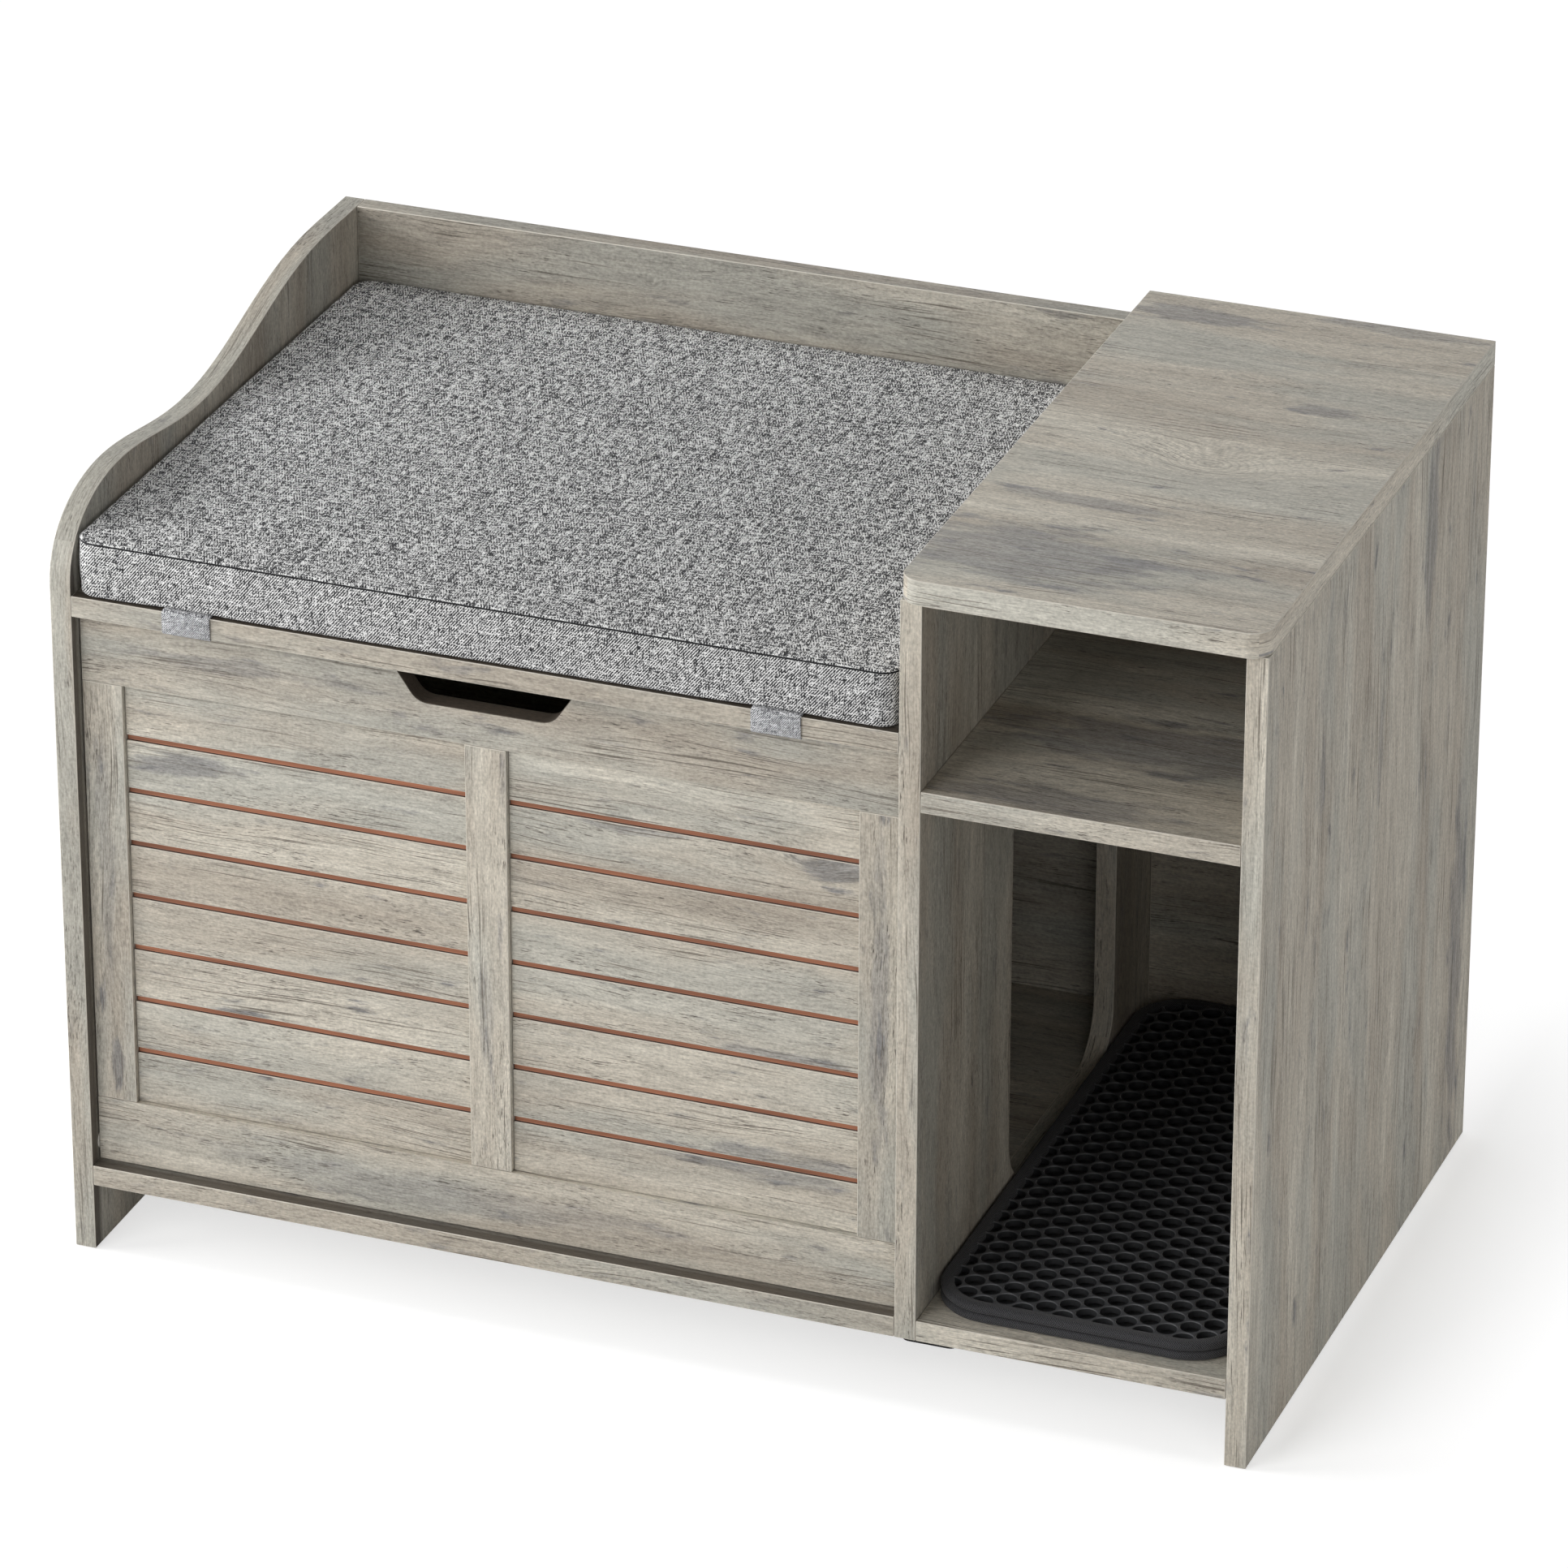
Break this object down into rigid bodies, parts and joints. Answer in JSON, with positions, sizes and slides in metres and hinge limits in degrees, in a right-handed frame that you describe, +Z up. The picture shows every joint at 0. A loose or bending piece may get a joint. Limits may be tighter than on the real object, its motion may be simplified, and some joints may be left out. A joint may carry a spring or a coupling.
{
  "type": "litter box cabinet",
  "caption": "Bench cabinet hiding a litter box: long chamber with a flip-down louvred front under a padded seat, beside an open tower with an arched-corner doorway, mat and shelf.",
  "frame": {"origin": "on the floor, under the centre of the footprint", "axes": "+X to the right seen from the front, towards the open tower; front towards -Y; +Z up"},
  "size_m": [0.85, 0.506, 0.61],
  "materials": {
    "laminate": "matt wood-grain laminate",
    "cushion_fabric": "grey melange weave",
    "foam": "satin closed-cell foam",
    "binding": "woven twill tape",
    "black_plastic": "moulded",
    "nylon": "moulded",
    "cap_plastic": "printed to match the boards",
    "steel": "zinc plated"
  },
  "bodies": {
    "cabinet": {"left_side_panel": "laminate", "divider_panel": "laminate", "right_side_panel": "laminate", "chamber_back_board": "laminate", "tower_back_board": "laminate", "chamber_floor_board": "laminate", "tower_floor_board": "laminate", "seat_board": "laminate", "tower_shelf": "laminate", "tower_top": "laminate", "centre_foot_front": "black_plastic", "centre_foot_rear": "black_plastic", "seat_cam_cap_1": "cap_plastic", "seat_cam_cap_2": "cap_plastic", "seat_cam_cap_3": "cap_plastic", "seat_cam_cap_4": "cap_plastic", "shelf_cam_cap_1": "cap_plastic", "shelf_cam_cap_2": "cap_plastic", "shelf_cam_cap_3": "cap_plastic", "shelf_cam_cap_4": "cap_plastic", "left_pivot_bush": "nylon", "right_pivot_bush": "nylon", "left_magnet_catch": "nylon", "right_magnet_catch": "nylon", "cushion": "cushion_fabric", "left_cushion_strap": "cushion_fabric", "right_cushion_strap": "cushion_fabric"},
    "door": {"door_top_rail": "laminate", "door_bottom_rail": "laminate", "door_left_stile": "laminate", "door_centre_stile": "laminate", "door_right_stile": "laminate", "door_left_louvre_panel": "laminate", "door_right_louvre_panel": "laminate", "door_left_pivot_pin": "steel", "door_right_pivot_pin": "steel", "door_left_strike_plate": "steel", "door_right_strike_plate": "steel"},
    "mat": {"mat_lower_binding": "binding", "mat_lower_layer": "foam", "mat_upper_binding": "binding", "mat_upper_layer": "foam"}
  },
  "joints": [
    {"name": "door_flip", "type": "hinge", "parent": "cabinet", "child": "door", "pos_m": [-0.11625, -0.231, 0.079], "axis": [1, 0, 0], "range_deg": [0, 100]},
    {"name": "mat_pull", "type": "slide", "parent": "cabinet", "child": "mat", "axis": [0, -1, 0], "range_m": [0, 0.45]}
  ]
}
